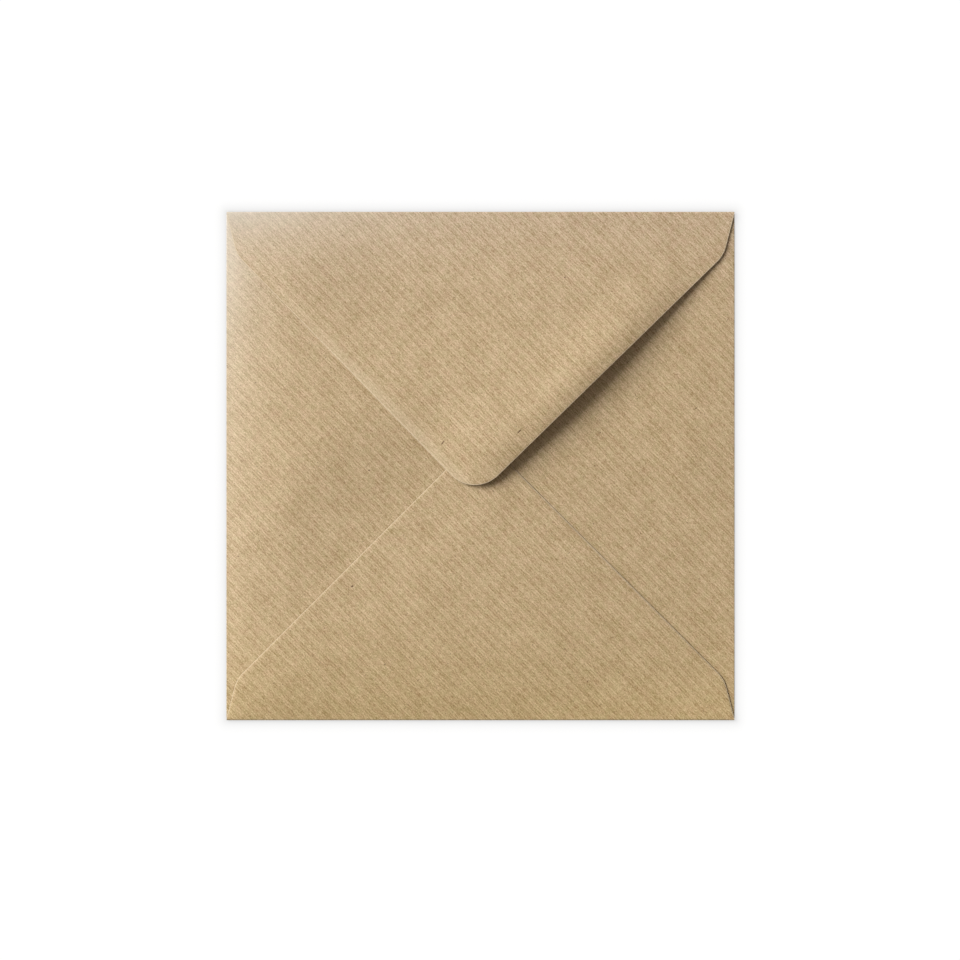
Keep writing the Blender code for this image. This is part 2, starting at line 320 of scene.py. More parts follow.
def roll_length(radius):
    """Paper in a fold's half turn, measured at the middle of its thickness."""
    return math.pi * (radius - PAPER / 2)


def roll_bend(inward, radius, place):
    """Carry a place of the blank that lies before the root round the fold's half turn."""
    middle = radius - PAPER / 2
    angle = math.pi / 2 - (radius - HALF - place.dot(inward)) / middle
    depth = radius - middle * math.cos(angle)
    plan = on_plan(inward, place.dot(along_fold(inward)), depth)
    return plan.to_3d() + Vector((0, 0, radius + middle * math.sin(angle)))


def unfolded(inward, radius, place):
    """Where a point of a flap lies on the flat sheet, with the address panel in the middle."""
    depth = place.dot(inward) + HALF - radius + roll_length(radius)
    return along_fold(inward) * place.dot(along_fold(inward)) - inward * (HALF - radius + depth)


def seal_corners():
    """Plan places of the seal flap's sharp point and of its left and right shoulders."""
    shoulder, depth = shoulder_of(SEAL_REACH)
    point = on_plan(FROM_TOP, SEAL_LEAN, SEAL_REACH)
    return point, on_plan(FROM_TOP, shoulder, depth), on_plan(FROM_TOP, -shoulder, depth)


def bow(place):
    """Height by which the seal flap's right edge stands off the pocket."""
    point, _, right = seal_corners()
    edge = right - point
    along = (place - point).dot(edge.normalized())
    inside = edge.normalized().cross(place - point)
    if along < BOW_PEAK:
        share = math.sin(math.pi / 2 * max(along / BOW_PEAK, 0))
    else:
        beyond = min((along - BOW_PEAK) / (edge.length - BOW_PEAK), 1)
        share = max(math.cos(math.pi / 2 * beyond), 0) ** BOW_FADE
    curve = max(inside, 0) / BOW_CURVE_RUN
    height = BOW_LIFT * ease(1 - inside / BOW_LIFT_RUN) + BOW_CURVE * (1 + curve) * math.exp(-curve)
    height -= BOW_EDGE_DROP * (1 - min(inside / BOW_EDGE_RUN, 1)) ** 2
    return height * share * ease((HALF - BACK_ROLL - place.y) / BOW_HINGE_RUN)


def curl(place):
    """Height that the seal flap gains as it comes in from its left edge, which is pressed down."""
    point, left, _ = seal_corners()
    inside = (place - point).cross((left - point).normalized())
    gained = 1 - math.exp(-max(inside, 0) / CURL_RUN)
    return CURL * gained * ease((HALF - BACK_ROLL - place.y) / BOW_HINGE_RUN)


def seal_height(place):
    """Middle of the seal flap's thickness: over the side flaps, then up over the bottom flap's point."""
    to_point = place.y - BOTTOM_PAST_MIDDLE - STEP_LEAD
    step = (PAPER + SEAM) * ease(1 - to_point / STEP_RUN)
    return BACK_LEVEL + PAPER / 2 + swell(place) + step + bow(place) + curl(place) + dent(place, *ARCH)


def distance_to(line, places):
    """Distance from each place to the nearest point of the line."""
    nearest = np.full(len(places), np.inf)
    for start, end in zip(line, line[1:]):
        run = end - start
        share = np.clip((places - start) @ run / (run @ run), 0, 1)
        away = places - start - share[:, None] * run
        nearest = np.minimum(nearest, np.hypot(away[:, 0], away[:, 1]))
    return nearest


def inside_of(loop, places):
    """Whether each place lies inside the loop."""
    inside = np.zeros(len(places), bool)
    for start, end in zip(loop, np.roll(loop, -1, axis=0)):
        spans = (start[1] > places[:, 1]) != (end[1] > places[:, 1])
        if not spans.any():
            continue
        crossing = start[0] + (places[:, 1] - start[1]) / (end[1] - start[1]) * (end[0] - start[0])
        inside ^= spans & (places[:, 0] < crossing)
    return inside


def rings_beside(edge, loop):
    """Points in rings just inside a cut edge, where its rim bends most."""
    run = np.roll(edge, -1, axis=0)[:-1] - edge[:-1]
    run /= np.linalg.norm(run, axis=1)[:, None]
    inward = np.stack([-run[:, 1], run[:, 0]], axis=1)
    middles = (edge[:-1] + edge[1:]) / 2
    rings = []
    for depth in EDGE_RINGS:
        ring = middles + inward * depth
        keep = inside_of(loop, ring) & (distance_to(closed(loop), ring) > depth * RING_KEPT)
        rings.append(ring[keep])
    return np.concatenate(rings)


def closed(loop):
    """The loop with its first point again at its end."""
    return np.concatenate([loop, loop[:1]])


def field_inside(loop):
    """Points over the sheet in staggered rows, which give nearly even triangles."""
    low, high = loop.min(axis=0), loop.max(axis=0)
    row_step = FIELD_STEP * math.sqrt(3) / 2
    rows = []
    for index in range(math.ceil((high[1] - low[1]) / row_step)):
        x = np.arange(low[0] + FIELD_STEP * (index % 2) / 2, high[0], FIELD_STEP)
        rows.append(np.stack([x, np.full(len(x), low[1] + index * row_step)], axis=1))
    places = np.concatenate(rows)
    places = places[inside_of(loop, places)]
    return places[distance_to(closed(loop), places) > EDGE_RINGS[-1] + FIELD_STEP / 2]


def flat_mesh(edge, rows):
    """Flat blank: even triangles within its cut edge, then quads over the rows round its fold, if any."""
    loop = edge + rows[0][1:-1] if rows else edge
    outline = np.array([tuple(point) for point in loop])
    inner = np.concatenate([rings_beside(outline[:len(edge)], outline), field_inside(outline)])
    points = loop + [Vector(place) for place in inner]
    whole = [range(len(loop))]
    verts, _, faces, sources, _, _ = delaunay_2d_cdt(points, [], whole, ONLY_INSIDE, MERGE, True)
    middles = np.array([tuple(sum((verts[index] for index in face), Vector((0, 0))) / 3) for face in faces])
    faces = [
        face for face, inside in zip(faces, inside_of(outline, middles))
        if inside and thinnest([verts[index] for index in face]) > SLIVER
    ]
    made_from = {source: index for index, found in enumerate(sources) for source in found}
    previous = [made_from[source] for source in (len(edge) - 1, *range(len(edge), len(loop)), 0)]
    for row in rows[1:]:
        current = range(len(verts), len(verts) + len(row))
        verts += row
        faces += [
            (previous[k], current[k], current[k + 1], previous[k + 1])
            for k in range(len(row) - 1)
        ]
        previous = current
    return verts, faces


def thinnest(corners):
    """A triangle's smallest height: next to nothing where three points lie along a straight cut."""
    first, second, third = corners
    longest = max((second - first).length, (third - second).length, (first - third).length)
    return abs((second - first).cross(third - first)) / longest


def add_floats(mesh, name, kind, values):
    """Give each point of the mesh a number or a place."""
    attribute = mesh.attributes.new(name, kind, "POINT")
    attribute.data.foreach_set("vector" if kind == "FLOAT_VECTOR" else "value", np.ravel(values))


def make_sheet(name, edge, rows, bend, flat, thickness, press, material):
    """A closed sheet: the blank is meshed flat, bent, and thickened. Its flat places stay with it."""
    verts, faces = flat_mesh(edge, rows)
    places = np.array([tuple(place) for place in verts])
    rim = np.minimum(distance_to(np.array([tuple(point) for point in edge]), places), RIM_SEEN)
    bent = np.array([tuple(bend(place)) for place in verts])
    bent[:, 2] -= press * np.maximum(1 - rim / PRESS_RUN, 0) ** 2
    mesh = bpy.data.meshes.new(name)
    mesh.from_pydata(bent.tolist(), [], faces)
    mesh.update()
    add_floats(mesh, "sheet", "FLOAT_VECTOR", [tuple(flat(place).to_3d()) for place in verts])
    add_floats(mesh, "rim", "FLOAT", rim)
    mesh.shade_smooth()
    sharpen_border(mesh)
    sheet = bpy.data.objects.new(name, mesh)
    bpy.context.scene.collection.objects.link(sheet)
    sheet.data.materials.append(material)
    full = sheet.vertex_groups.new(name="full_thickness")
    for index, depth in enumerate(rim):
        full.add([index], min(depth / RIM_WIDTH, 1), "REPLACE")
    shell = sheet.modifiers.new("thickness", "SOLIDIFY")
    shell.thickness = thickness
    shell.offset = 0
    shell.use_even_offset = True
    shell.vertex_group = full.name
    shell.thickness_vertex_group = RIM_THICKNESS
    # The thickness is made part of the mesh, so that it isn't worked out again where the crease bends
    sheet.data = bpy.data.meshes.new_from_object(sheet.evaluated_get(bpy.context.evaluated_depsgraph_get()))
    sheet.data.name = name
    sheet.modifiers.clear()
    return sheet


def sharpen_border(mesh):
    """Mark the open border's edges sharp, so that the cut keeps its corner."""
    uses = np.zeros(len(mesh.edges), int)
    edge_of = {tuple(sorted(edge.vertices)): edge.index for edge in mesh.edges}
    for face in mesh.polygons:
        for key in face.edge_keys:
            uses[edge_of[tuple(sorted(key))]] += 1
    for index in np.flatnonzero(uses == 1):
        mesh.edges[int(index)].use_edge_sharp = True


def rows_round_fold(inward, width, radius):
    """Rows of points from a flap's root, back round its fold's half turn."""
    rows = []
    for step in range(ROLL_STEPS + 1):
        depth = radius - roll_length(radius) * step / ROLL_STEPS
        ends = [on_plan(inward, -width / 2, depth), on_plan(inward, width / 2, depth)]
        rows.append(divided(ends, FIELD_STEP))
    return rows


def fold_bend(inward, radius, height):
    """A rule that bends a flap: round its fold before the root, at the height given after it."""

    def bend(place):
        if place.dot(inward) < radius - HALF:
            return roll_bend(inward, radius, place)
        return Vector((place.x, place.y, height(place)))

    return bend


def folded_flap(node, inward, width, reach, tip_radius, radius, material):
    """A side flap or the bottom flap with its fold, standing for its solid."""
    edge = divided(cut_edge(inward, width, reach, 0, tip_radius, radius), EDGE_STEP)
    flap = make_sheet(
        node + "_paper", edge, rows_round_fold(inward, width, radius),
        fold_bend(inward, radius, lambda place: 2 * radius - PAPER / 2 + swell(place)),
        lambda place: unfolded(inward, radius, place), PAPER, PRESS, material,
    )
    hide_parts(node)
    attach(flap, "pocket")


def seal_flap(material):
    """The seal flap and its crease in one sheet, meshed round the crease's half turn."""
    edge = divided(cut_edge(FROM_TOP, BACK_WIDTH, SEAL_REACH, SEAL_LEAN, TIP_RADIUS, BACK_ROLL), EDGE_STEP)
    flap = make_sheet(
        "seal_flap_paper", edge, rows_round_fold(FROM_TOP, BACK_WIDTH, BACK_ROLL),
        fold_bend(FROM_TOP, BACK_ROLL, seal_height),
        lambda place: unfolded(FROM_TOP, BACK_ROLL, place), PAPER, 0, material,
    )
    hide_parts("seal_flap", "top_crease")
    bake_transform(flap)


def gum_band(material):
    """The gum: a chevron on the seal flap's underside, set in from its two free edges."""
    point, left, right = seal_corners()
    to_left = (left - point).normalized()
    to_right = (right - point).normalized()
    middle = (to_left + to_right).normalized()
    spread = math.sin(middle.angle(to_right))

    def band_edge(inset):
        reach = (right - point).length - GUM_END_SETBACK
        right_end = point + to_right * reach + Vector((-to_right.y, to_right.x)) * inset
        left_end = point + to_left * reach + Vector((to_left.y, -to_left.x)) * inset
        return [left_end, point + middle * inset / spread, right_end]

    outer = zip(band_edge(GUM_INSET), (STRIP_END_RADIUS, TIP_RADIUS - GUM_INSET, STRIP_END_RADIUS))
    inner = [(corner, STRIP_END_RADIUS) for corner in band_edge(GUM_INSET + GUM_WIDTH)[::-1]]
    edge = divided(rounded(list(outer) + inner), EDGE_STEP)
    drop = PAPER / 2 + GUM_CLEAR + GUM_FILM / 2
    gum = make_sheet(
        "seal_gum_band", edge, [], lambda place: Vector((place.x, place.y, seal_height(place) - drop)),
        lambda place: unfolded(FROM_TOP, BACK_ROLL, place), GUM_FILM, 0, material,
    )
    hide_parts("seal_gum")
    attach(gum, "seal_flap")


def seam_glue(name, node, side, material):
    """Dried glue between a side flap and the bottom flap, a strip down the middle of their overlap."""
    middle = (BOTTOM_REACH - SIDE_REACH) / 2
    glue_end = HALF - GLUE_END_SETBACK
    first = Vector((side * GLUE_START, middle - GLUE_START))
    last = Vector((side * glue_end, middle - glue_end))
    out = Vector((side, 1)).normalized() * GLUE_WIDTH / 2
    corners = [first - out, last - out, last + out, first + out]
    edge = divided(rounded([(corner, STRIP_END_RADIUS) for corner in corners[::side]]), EDGE_STEP)
    height = BACK_LEVEL - SEAM / 2
    glue = make_sheet(
        name, edge, [], lambda place: Vector((place.x, place.y, height + swell(place))),
        lambda place: place, FILM, 0, material,
    )
    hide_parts(node)
    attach(glue, "pocket")


def front_panel(material):
    """The flat address panel, out to the folds on all four sides."""
    right = HALF - SIDE_ROLL
    top = HALF - BACK_ROLL
    corners = [(-right, -top), (right, -top), (right, top), (-right, top)]
    mesh = bpy.data.meshes.new("front_panel_paper")
    mesh.from_pydata([(x, y, PAPER / 2) for x, y in corners], [], [(0, 1, 2, 3)])
    mesh.update()
    add_floats(mesh, "sheet", "FLOAT_VECTOR", [(x, y, 0) for x, y in corners])
    add_floats(mesh, "rim", "FLOAT", [RIM_SEEN] * len(corners))
    panel = bpy.data.objects.new("front_panel_paper", mesh)
    bpy.context.scene.collection.objects.link(panel)
    panel.data.materials.append(material)
    shell = panel.modifiers.new("thickness", "SOLIDIFY")
    shell.thickness = PAPER
    shell.offset = 0
    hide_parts("front_panel")
    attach(panel, "pocket")


# The materials work in millimetres on the flat sheet
MM = 1000

# The ribs' angle there, their spacing and their bands', how much they wander, and how strong they are
RIB_ANGLE = math.radians(45.5)
RIB = 0.81
BAND = 3 * RIB
WANDER = 2.4
RIB_SHARE = 0.6
BAND_SHARE = 0.6
RIB_CONTRAST = 2.6
RIB_CONTRAST_LOSS = -0.4

# Drawn-out noises: fineness across and along, per millimetre, then detail and roughness
WANDER_NOISE = (0.12, 0.04, 2.0, 0.5)
STRENGTH_NOISE = (0.5, 0.12, 3.0, 0.6)
FIBRE_NOISE = (2.6, 0.8, 3.0, 0.75)
GUM_STREAKS = (1.6, 0.15, 3.0, 0.6)

# Even noises: fineness per millimetre, detail and roughness
GRAIN_NOISE = (3.2, 2.0, 0.8)
CLOUD_NOISE = (0.16, 4.0, 0.62)
TINT_NOISE = (0.35, 3.0, 0.6)
GUM_BLOTCHES = (0.25, 4.0, 0.6)
GLUE_PATCHES = (0.8, 4.0, 0.6)

# The paper's tone: its middle, how far each layer moves it, and the two colours that it runs between
MIDDLE = 0.5
RIB_TONE = 0.155
FIBRE_TONE = 1.8
GRAIN_TONE = 2.1
CLOUD_TONE = 0.55
DARK_KRAFT = (136, 106, 59)
LIGHT_KRAFT = (231, 209, 173)

# Faint patches lean to pink and to green, and a painted sheen turns the whole to yellow at the bottom and
# to grey at the top
TINT = 0.18
TINT_CONTRAST = 3.0
PINK_TINT = (208, 170, 136)
GREEN_TINT = (180, 172, 112)
CAST_POWER = 3.0
BOTTOM_SHEEN_CAST = (1.02, 1.0, 0.87, 1)
TOP_SHEEN_CAST = (1.0, 1.0, 1.12, 1)

# Two kinds of random specks: fineness along the ribs, cells per millimetre, and the core and edge in a cell
SPECKS = (0.5, 0.8, 0.05, 0.11)
SPECKS_FROM = 0.86
SPECK_DARKNESS = 0.85
PITS = (0.45, 2.0, 0.1, 0.3)
PITS_FROM = 0.7
PIT_DARKNESS = 0.75
FLECK = (92, 62, 34)

# Dark fibre flecks that can be told one by one, in millimetres on the plan: x, y, heading, length, width
SEAL_FLECKS = (
    (25.6, 57.2, 30, 0.6, 0.25), (-14.9, 45.0, 70, 0.5, 0.2), (-42.0, 70.1, 10, 0.5, 0.2),
    (-11.4, 7.0, 50, 1.3, 0.3), (11.7, 10.4, 45, 1.4, 0.35),
)
BOTTOM_FLECKS = ((-38.9, -36.5, 20, 0.7, 0.5), (-29.0, -60.2, 40, 0.6, 0.25), (32.6, -65.4, 60, 0.6, 0.2))
LEFT_FLECKS = ((-33.8, -1.3, 10, 0.6, 0.3), (-68.4, 25.3, 30, 0.6, 0.2))
RIGHT_FLECKS = ((65.7, 17.6, 20, 0.6, 0.25), (36.4, 10.1, 40, 0.6, 0.2))
FLECK_CORE = 0.8
FLECK_EDGE = 1.4
FLECK_DARKNESS = 0.95

# Rubbing, and the painted sheen laid with it, fall off per millimetre from a fold and from the upper left
# corner
FOLD_FADE = 0.11
CORNER_FADE = 0.030
SHEEN_SHARE = 0.65
SHEEN_WHITE = (240, 235, 222)

# A painted sheen makes the seal flap's left edge paler in a strip, from some way below the fold
STRIP_WIDTH = 5.0
STRIP_SHEEN = 0.24
STRIP_START = 20
STRIP_FULL = 50
SHEEN_STRIP_COLOUR = (242, 225, 194)

# Cut rims are pale and frayed over these distances, in metres, and painted shade darkens the gaps between
# sheets
CUT_WIDTH = 0.0003
CUT_PALENESS = 0.75
CUT = (232, 216, 188)
FRAY_START = 0.0001
FRAY_END = 0.0005
FRAY_ROUGHNESS = 0.4
GAP_REACH = 0.0007
GAP_SHADE = 0.5
GAP_SAMPLES = 8
PAINTED_GAP_SHADE = (84, 58, 34)

# The paper's surface: roughness, gloss and relief
ROUGHNESS = 0.46
GRAIN_ROUGHNESS = 0.2
RUBBED_SMOOTHNESS = 0.15
PAPER_SPECULAR = 0.35
RIB_RELIEF = 0.35
FIBRE_RELIEF = 0.6
PAPER_RELIEF = (0.00002, 0.6)

# Dried gum and glue: colours, relief as depth and strength, and roughness as its range and its least
GUM_DARK = (163, 133, 92)
GUM_LIGHT = (196, 168, 124)
GUM_STREAK_TONE = 0.6
GUM_BLOTCH_TONE = 0.8
GUM_TONE_LOSS = -0.2
GUM_RELIEF = (0.00003, 0.5)
GUM_ROUGHNESS = (0.25, 0.12)
GLUE_DARK = (186, 170, 138)
GLUE_LIGHT = (232, 226, 208)
GLUE_RELIEF = (0.00004, 0.6)
GLUE_ROUGHNESS = (0.3, 0.3)

# Numbers of the mix node's colour sockets
MIX_FIRST = 6
MIX_SECOND = 7
MIX_RESULT = 2


def linear(red, green, blue):
    """Scene-linear colour, with alpha, of an sRGB colour from 0 to 255."""

    def one(value):
        value /= 255
        return value / 12.92 if value <= 0.04045 else ((value + 0.055) / 1.055) ** 2.4

    return one(red), one(green), one(blue), 1


class Nodes:
    """Adds nodes to a tree, with settings by name and inputs by name or number."""

    def __init__(self, tree):
        self.tree = tree
        tree.nodes.clear()

    def add(self, kind, inputs=None, **settings):
        """A new node, each input linked to the socket or set to the value given."""
        made = self.tree.nodes.new(kind)
        for key, value in settings.items():
            setattr(made, key, value)
        for key, value in (inputs or {}).items():
            if isinstance(value, bpy.types.NodeSocket):
                self.tree.links.new(value, made.inputs[key])
            else:
                made.inputs[key].default_value = value
        return made

    def math(self, operation, first, second=0.0, third=0.0):
        """Result of an operation on numbers."""
        made = self.add("ShaderNodeMath", {0: first, 1: second, 2: third}, operation=operation)
        return made.outputs[0]

    def measure(self, operation, first, second=(0, 0, 0)):
        """Number that an operation on places gives, such as a distance."""
        made = self.add("ShaderNodeVectorMath", {0: first, 1: second}, operation=operation)
        return made.outputs["Value"]

    def ramp(self, value, start, end, at_start, at_end, **settings):
        """Number that changes as the value goes from start to end, and holds beyond them."""
        inputs = {0: value, 1: start, 2: end, 3: at_start, 4: at_end}
        return self.add("ShaderNodeMapRange", inputs, **settings).outputs[0]

    def fading(self, distance, rate):
        """Share that is left at a distance."""
        return self.math("EXPONENT", self.math("MULTIPLY", distance, -rate))

    def about_zero(self, value, weight):
        """A value from 0 to 1, weighted and moved to lie about 0."""
        return self.math("MULTIPLY_ADD", value, weight, -weight / 2)

    def mix(self, factor, first, second, **settings):
        """Colour that goes from the first to the second with the factor."""
        inputs = {"Factor": factor, MIX_FIRST: first, MIX_SECOND: second}
        return self.add("ShaderNodeMix", inputs, data_type="RGBA", **settings).outputs[MIX_RESULT]

    def noise(self, place, scale, detail, roughness):
        """Even noise from 0 to 1."""
        inputs = {"Vector": place, "Scale": scale, "Detail": detail, "Roughness": roughness}
        return self.add("ShaderNodeTexNoise", inputs).outputs["Fac"]

    def stretched(self, place, across, along):
        """The place drawn out along x, with its fineness across x and along it."""
        made = self.add("ShaderNodeVectorMath", {0: place, 1: (along, across, 1)}, operation="MULTIPLY")
        return made.outputs[0]

    def streaks(self, place, across, along, detail, roughness):
        """Noise from 0 to 1 that is drawn out along x."""
        return self.noise(self.stretched(place, across, along), 1.0, detail, roughness)

    def on_sheet(self, turn=0.0):
        """Place on the flat sheet in millimetres, turned so that x runs at the angle given."""
        sheet = self.add("ShaderNodeAttribute", attribute_name="sheet").outputs["Vector"]
        inputs = {"Vector": sheet, "Rotation": (0, 0, -turn), "Scale": (MM, MM, MM)}
        return self.add("ShaderNodeMapping", inputs).outputs[0]

    def seen(self):
        """Whether the ray shows the surroundings: to the camera, in gloss or through something clear."""
        rays = self.add("ShaderNodeLightPath").outputs
        behind = self.math("MAXIMUM", rays["Is Glossy Ray"], rays["Is Transmission Ray"])
        return self.math("MAXIMUM", rays["Is Camera Ray"], behind)

    def surface(self, colour, relief, depth, strength, roughness, inputs=None):
        """The material's shader, with its relief as bump."""
        bump = self.add("ShaderNodeBump", {"Height": relief, "Distance": depth, "Strength": strength})
        base = {"Base Color": colour, "Normal": bump.outputs[0], "Roughness": roughness}
        shader = self.add("ShaderNodeBsdfPrincipled", {**base, **(inputs or {})})
        self.add("ShaderNodeOutputMaterial", {"Surface": shader.outputs[0]})


def new_material(name):
    """A bare material, and what adds its nodes."""
    material = bpy.data.materials.new(name)
    material.use_nodes = True
    return material, Nodes(material.node_tree)


def rib_pattern(nodes, along_ribs):
    """Ribs in bands, which wander a little and come and go along their length."""
    across = nodes.add("ShaderNodeSeparateXYZ", {0: along_ribs}).outputs["Y"]
    wander = nodes.about_zero(nodes.streaks(along_ribs, *WANDER_NOISE), WANDER)
    rib, band = (
        nodes.math("SINE", nodes.math("MULTIPLY_ADD", across, 2 * math.pi / spacing, wander))
        for spacing in (RIB, BAND)
    )
    both = nodes.math("MULTIPLY_ADD", band, BAND_SHARE, nodes.math("MULTIPLY", rib, RIB_SHARE))
    strength = nodes.streaks(along_ribs, *STRENGTH_NOISE)
    strength = nodes.math("MULTIPLY_ADD", strength, RIB_CONTRAST, RIB_CONTRAST_LOSS)
    return nodes.math("MULTIPLY", both, strength)


def bare_colour(nodes, place, along_ribs, ribs, fibres, grain):
    """Colour of the paper before any mark or wear."""
    tone = nodes.math("MULTIPLY_ADD", ribs, RIB_TONE, MIDDLE)
    cloud = nodes.noise(along_ribs, *CLOUD_NOISE)
    for layer, weight in ((fibres, FIBRE_TONE), (grain, GRAIN_TONE), (cloud, CLOUD_TONE)):
        tone = nodes.math("ADD", tone, nodes.about_zero(layer, weight))
    colour = nodes.mix(tone, linear(*DARK_KRAFT), linear(*LIGHT_KRAFT))
    leaning = nodes.math("ADD", nodes.about_zero(nodes.noise(place, *TINT_NOISE), TINT_CONTRAST), MIDDLE)
    return nodes.mix(TINT, colour, nodes.mix(leaning, linear(*PINK_TINT), linear(*GREEN_TINT)))


def painted_sheen_cast(nodes, up):
    """Painted sheen: a tint that turns from the bottom edge of the closed envelope to the top."""
    height = nodes.math("PINGPONG", nodes.math("ABSOLUTE", up), HALF * MM)
    share = nodes.math("POWER", nodes.math("MULTIPLY", height, 1 / (HALF * MM)), CAST_POWER)
    share = nodes.math("MULTIPLY", nodes.math("SIGN", up), share)
    return nodes.mix(nodes.math("MULTIPLY_ADD", share, 0.5, 0.5), BOTTOM_SHEEN_CAST, TOP_SHEEN_CAST)


def flecks_on_sheet():
    """The flecks' places and headings on the flat sheet, where each fold mirrors them, with their sizes."""
    found = []
    for inward, radius, flecks in (
        (FROM_TOP, BACK_ROLL, SEAL_FLECKS), (FROM_BOTTOM, BACK_ROLL, BOTTOM_FLECKS),
        (FROM_LEFT, SIDE_ROLL, LEFT_FLECKS), (FROM_RIGHT, SIDE_ROLL, RIGHT_FLECKS),
    ):
        for x, y, heading, length, width in flecks:
            place = unfolded(inward, radius, Vector((x, y)) / MM) * MM
            found.append((place, -heading, length, width))
    return found


def specks(nodes, along_ribs, along, scale, core, edge):
    """A speck in each cell, drawn out along the ribs, and the cell's lot from 0 to 1."""
    place = nodes.stretched(along_ribs, 1.0, along)
    cells = nodes.add("ShaderNodeTexVoronoi", {"Vector": place, "Scale": scale})
    lot = nodes.add("ShaderNodeSeparateColor", {0: cells.outputs["Color"]}).outputs[0]
    return nodes.ramp(cells.outputs["Distance"], core, edge, 1.0, 0.0), lot


def dark_marks(nodes, place, along_ribs):
    """How dark the paper is marked: sparse specks all over, and the flecks that can be told one by one."""
    speck, lot = specks(nodes, along_ribs, *SPECKS)
    chosen = nodes.math("GREATER_THAN", lot, SPECKS_FROM)
    dark = nodes.math("MULTIPLY", nodes.math("MULTIPLY", speck, chosen), SPECK_DARKNESS)
    pit, lot = specks(nodes, along_ribs, *PITS)
    pit_darkness = nodes.ramp(lot, PITS_FROM, 1.0, 0.0, PIT_DARKNESS)
    dark = nodes.math("MAXIMUM", dark, nodes.math("MULTIPLY", pit, pit_darkness))
    for middle, heading, length, width in flecks_on_sheet():
        spot = nodes.add("ShaderNodeMapping", {
            "Vector": place, "Location": (middle.x, middle.y, 0), "Rotation": (0, 0, math.radians(heading)),
            "Scale": (length / 2, width / 2, 1),
        }, vector_type="TEXTURE").outputs[0]
        mark = nodes.ramp(nodes.measure("LENGTH", spot), FLECK_CORE, FLECK_EDGE, FLECK_DARKNESS, 0.0)
        dark = nodes.math("MAXIMUM", dark, mark)
    return dark


def rubbing_and_sheen(nodes, place, right, up):
    """How rubbed the paper is, which also sets its painted sheen: most along the folds, and near the upper
    left corner.
    """
    outermost = nodes.math("MAXIMUM", nodes.math("ABSOLUTE", right), nodes.math("ABSOLUTE", up))
    from_fold = nodes.math("ABSOLUTE", nodes.math("SUBTRACT", outermost, HALF * MM))
    from_corner = nodes.measure("DISTANCE", place, (-HALF * MM, HALF * MM, 0))
    near_corner = nodes.fading(from_corner, CORNER_FADE)
    return nodes.math("MULTIPLY", nodes.fading(from_fold, FOLD_FADE), near_corner)


def painted_sheen_strip(nodes, place, up):
    """How much the painted sheen lightens the paper along the lower part of the seal flap's left edge."""
    point, left, _ = (unfolded(FROM_TOP, BACK_ROLL, corner) * MM for corner in seal_corners())
    inward = Vector(((left - point).y, (point - left).x)).normalized()
    depth = nodes.measure("DOT_PRODUCT", place, inward.to_3d())
    from_edge = nodes.math("ABSOLUTE", nodes.math("SUBTRACT", depth, point.dot(inward)))
    strip = nodes.ramp(from_edge, 0.0, STRIP_WIDTH, STRIP_SHEEN, 0.0, interpolation_type="SMOOTHSTEP")
    low_down = nodes.ramp(up, HALF * MM + STRIP_START, HALF * MM + STRIP_FULL, 0.0, 1.0)
    return nodes.math("MULTIPLY", strip, low_down)


def kraft_paper():
    """Machine-glazed ribbed kraft: ribs in bands, fibres, clouds, flecks and pale rims, with painted sheen
    on folds and edges and painted shade where sheets meet.
    """
    material, nodes = new_material("kraft_paper")
    place = nodes.on_sheet()
    along_ribs = nodes.on_sheet(RIB_ANGLE)
    right, up, _ = nodes.add("ShaderNodeSeparateXYZ", {0: place}).outputs
    rim = nodes.add("ShaderNodeAttribute", attribute_name="rim").outputs["Fac"]
    ribs = rib_pattern(nodes, along_ribs)
    fibres = nodes.streaks(along_ribs, *FIBRE_NOISE)
    grain = nodes.noise(along_ribs, *GRAIN_NOISE)
    rubbed_and_sheen = rubbing_and_sheen(nodes, place, right, up)

    colour = bare_colour(nodes, place, along_ribs, ribs, fibres, grain)
    # Painted sheen, greyer towards the top and yellower towards the bottom
    colour = nodes.mix(1.0, colour, painted_sheen_cast(nodes, up), blend_type="MULTIPLY")
    colour = nodes.mix(dark_marks(nodes, place, along_ribs), colour, linear(*FLECK))
    # Painted sheen in a strip along the seal flap's left edge
    colour = nodes.mix(painted_sheen_strip(nodes, place, up), colour, linear(*SHEEN_STRIP_COLOUR))
    # Painted sheen: paler along the folds, most near the upper left corner
    colour = nodes.mix(nodes.math("MULTIPLY", rubbed_and_sheen, SHEEN_SHARE), colour, linear(*SHEEN_WHITE))
    colour = nodes.mix(nodes.ramp(rim, 0.0, CUT_WIDTH, CUT_PALENESS, 0.0), colour, linear(*CUT))
    # Painted shade where two sheets meet, the darker the more closed in
    gap = nodes.add("ShaderNodeAmbientOcclusion", {"Distance": GAP_REACH}, samples=GAP_SAMPLES)
    shade = nodes.math("MULTIPLY_ADD", gap.outputs["AO"], -GAP_SHADE, GAP_SHADE)
    colour = nodes.mix(shade, colour, linear(*PAINTED_GAP_SHADE))

    # Rubbed paper is smoother, and the cut fibres of a rim are rough
    rough = nodes.math("MULTIPLY_ADD", grain, GRAIN_ROUGHNESS, ROUGHNESS)
    rough = nodes.math("SUBTRACT", rough, nodes.math("MULTIPLY", rubbed_and_sheen, RUBBED_SMOOTHNESS))
    rough = nodes.math("ADD", rough, nodes.ramp(rim, FRAY_START, FRAY_END, FRAY_ROUGHNESS, 0.0))
    relief = nodes.math("MULTIPLY_ADD", fibres, FIBRE_RELIEF, grain)
    relief = nodes.math("MULTIPLY_ADD", ribs, RIB_RELIEF, relief)
    nodes.surface(colour, relief, *PAPER_RELIEF, rough, {"Specular IOR Level": PAPER_SPECULAR})
    return material


